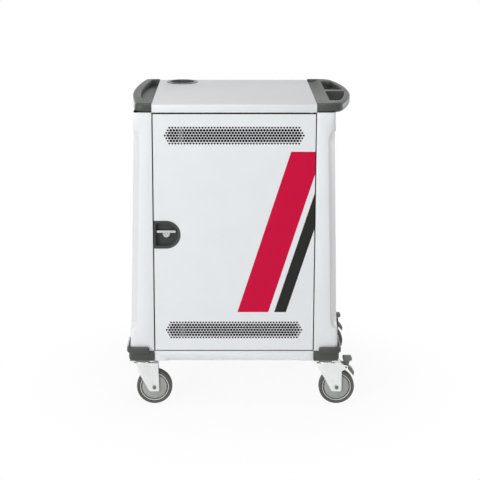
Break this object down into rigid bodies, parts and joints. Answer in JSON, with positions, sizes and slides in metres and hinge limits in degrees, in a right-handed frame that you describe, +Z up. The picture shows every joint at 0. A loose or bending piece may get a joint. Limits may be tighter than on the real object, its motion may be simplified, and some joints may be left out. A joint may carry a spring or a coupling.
{
  "type": "laptop charging cart",
  "caption": "Two-tier laptop charging cart with a vented locking door, a rear power bay, a push handle, a pen tray, bumpers and braked swivel casters.",
  "frame": {"origin": "on the floor under the middle of the cart's outer box", "axes": "+Z up, the vented door faces -Y, the push handle is at +X"},
  "size_m": [0.7854, 0.624, 1.0615],
  "materials": {
    "powder_coat": "satin off-white powder coat",
    "dark_moulding": "fine-grained dark grey moulding",
    "zinc": "bright zinc plate",
    "chrome": "polished chrome",
    "rubber": "matt grey rubber",
    "grey_plastic": "satin grey plastic",
    "black_plastic": "matt black plastic",
    "white_moulding": "satin off-white moulding",
    "inner_coat": "matt charcoal powder coat"
  },
  "bodies": {
    "cabinet": {"base_pan": "powder_coat", "left_base_channel": "zinc", "left_side_cover": "white_moulding", "left_inner_wall": "inner_coat", "right_base_channel": "zinc", "right_side_cover": "white_moulding", "right_inner_wall": "inner_coat", "front_left_bumper": "dark_moulding", "rear_left_bumper": "dark_moulding", "front_right_bumper": "dark_moulding", "rear_right_bumper": "dark_moulding", "power_partition": "inner_coat", "laptop_shelf": "inner_coat", "lower_divider_rack": "black_plastic", "lower_socket_strip": "black_plastic", "upper_divider_rack": "black_plastic", "upper_socket_strip": "black_plastic", "power_unit": "black_plastic", "deck_panel": "powder_coat", "deck_cup": "dark_moulding", "pen_tray": "dark_moulding", "push_handle": "dark_moulding", "lead_cleat": "dark_moulding", "mains_inlet": "black_plastic", "front_lower_pivot": "zinc", "front_upper_pivot": "zinc", "rear_lower_pivot": "zinc", "rear_upper_pivot": "zinc", "front_left_caster_plate": "zinc", "rear_left_caster_plate": "zinc", "front_right_caster_plate": "zinc", "rear_right_caster_plate": "zinc"},
    "front_door": {"front_door_panel": "powder_coat", "front_door_stiffener": "powder_coat", "lock_cup": "dark_moulding", "lock_housing": "zinc"},
    "lock_lever": {"lock_lever": "chrome", "lock_cam": "zinc"},
    "key_barrel": {"key_barrel": "chrome"},
    "rear_door": {"rear_door_panel": "powder_coat", "rear_lock_housing": "zinc"},
    "rear_lock": {"rear_lock_core": "chrome"},
    "front_left_swivel": {"front_left_fork": "zinc", "front_left_axle": "zinc"},
    "front_left_wheel": {"front_left_wheel_hub": "grey_plastic", "front_left_tyre": "rubber"},
    "rear_left_swivel": {"rear_left_fork": "zinc", "rear_left_axle": "zinc"},
    "rear_left_wheel": {"rear_left_wheel_hub": "grey_plastic", "rear_left_tyre": "rubber"},
    "front_right_swivel": {"front_right_fork": "zinc", "front_right_axle": "zinc"},
    "front_right_wheel": {"front_right_wheel_hub": "grey_plastic", "front_right_tyre": "rubber"},
    "front_right_brake": {"front_right_brake_pedal": "grey_plastic"},
    "rear_right_swivel": {"rear_right_fork": "zinc", "rear_right_axle": "zinc"},
    "rear_right_wheel": {"rear_right_wheel_hub": "grey_plastic", "rear_right_tyre": "rubber"},
    "rear_right_brake": {"rear_right_brake_pedal": "grey_plastic"}
  },
  "joints": [
    {"name": "front_door_hinge", "type": "hinge", "parent": "cabinet", "child": "front_door", "pos_m": [0.22925, -0.292, 0.6165], "axis": [0, 0, 1], "range_deg": [0, 115]},
    {"name": "lock_lever_turn", "type": "hinge", "parent": "front_door", "child": "lock_lever", "pos_m": [-0.25375, -0.292, 0.6165], "axis": [0, 1, 0], "range_deg": [0, 90]},
    {"name": "key_barrel_turn", "type": "hinge", "parent": "lock_lever", "child": "key_barrel", "pos_m": [-0.25375, -0.293, 0.6165], "axis": [0, 1, 0], "range_deg": [0, 90]},
    {"name": "rear_door_hinge", "type": "hinge", "parent": "cabinet", "child": "rear_door", "pos_m": [-0.28075, 0.292, 0.6165], "axis": [0, 0, 1], "range_deg": [0, 115]},
    {"name": "rear_lock_turn", "type": "hinge", "parent": "rear_door", "child": "rear_lock", "pos_m": [0.20225, 0.296, 0.6165], "axis": [0, -1, 0], "range_deg": [0, 90]},
    {"name": "front_left_swivel", "type": "hinge", "parent": "cabinet", "child": "front_left_swivel", "pos_m": [-0.34175, -0.246, 0.16], "axis": [0, 0, 1], "continuous": true},
    {"name": "front_left_wheel_spin", "type": "hinge", "parent": "front_left_swivel", "child": "front_left_wheel", "pos_m": [-0.30175, -0.246, 0.06155], "axis": [0, 1, 0], "continuous": true},
    {"name": "rear_left_swivel", "type": "hinge", "parent": "cabinet", "child": "rear_left_swivel", "pos_m": [-0.34175, 0.246, 0.16], "axis": [0, 0, 1], "continuous": true},
    {"name": "rear_left_wheel_spin", "type": "hinge", "parent": "rear_left_swivel", "child": "rear_left_wheel", "pos_m": [-0.30175, 0.246, 0.06155], "axis": [0, 1, 0], "continuous": true},
    {"name": "front_right_swivel", "type": "hinge", "parent": "cabinet", "child": "front_right_swivel", "pos_m": [0.29025, -0.246, 0.16], "axis": [0, 0, 1], "continuous": true},
    {"name": "front_right_wheel_spin", "type": "hinge", "parent": "front_right_swivel", "child": "front_right_wheel", "pos_m": [0.33025, -0.246, 0.06155], "axis": [0, 1, 0], "continuous": true},
    {"name": "front_right_brake_press", "type": "hinge", "parent": "front_right_swivel", "child": "front_right_brake", "pos_m": [0.36225, -0.246, 0.135], "axis": [0, 1, 0], "range_deg": [0, 8]},
    {"name": "rear_right_swivel", "type": "hinge", "parent": "cabinet", "child": "rear_right_swivel", "pos_m": [0.29025, 0.246, 0.16], "axis": [0, 0, 1], "continuous": true},
    {"name": "rear_right_wheel_spin", "type": "hinge", "parent": "rear_right_swivel", "child": "rear_right_wheel", "pos_m": [0.33025, 0.246, 0.06155], "axis": [0, 1, 0], "continuous": true},
    {"name": "rear_right_brake_press", "type": "hinge", "parent": "rear_right_swivel", "child": "rear_right_brake", "pos_m": [0.36225, 0.246, 0.135], "axis": [0, 1, 0], "range_deg": [0, 8]}
  ]
}
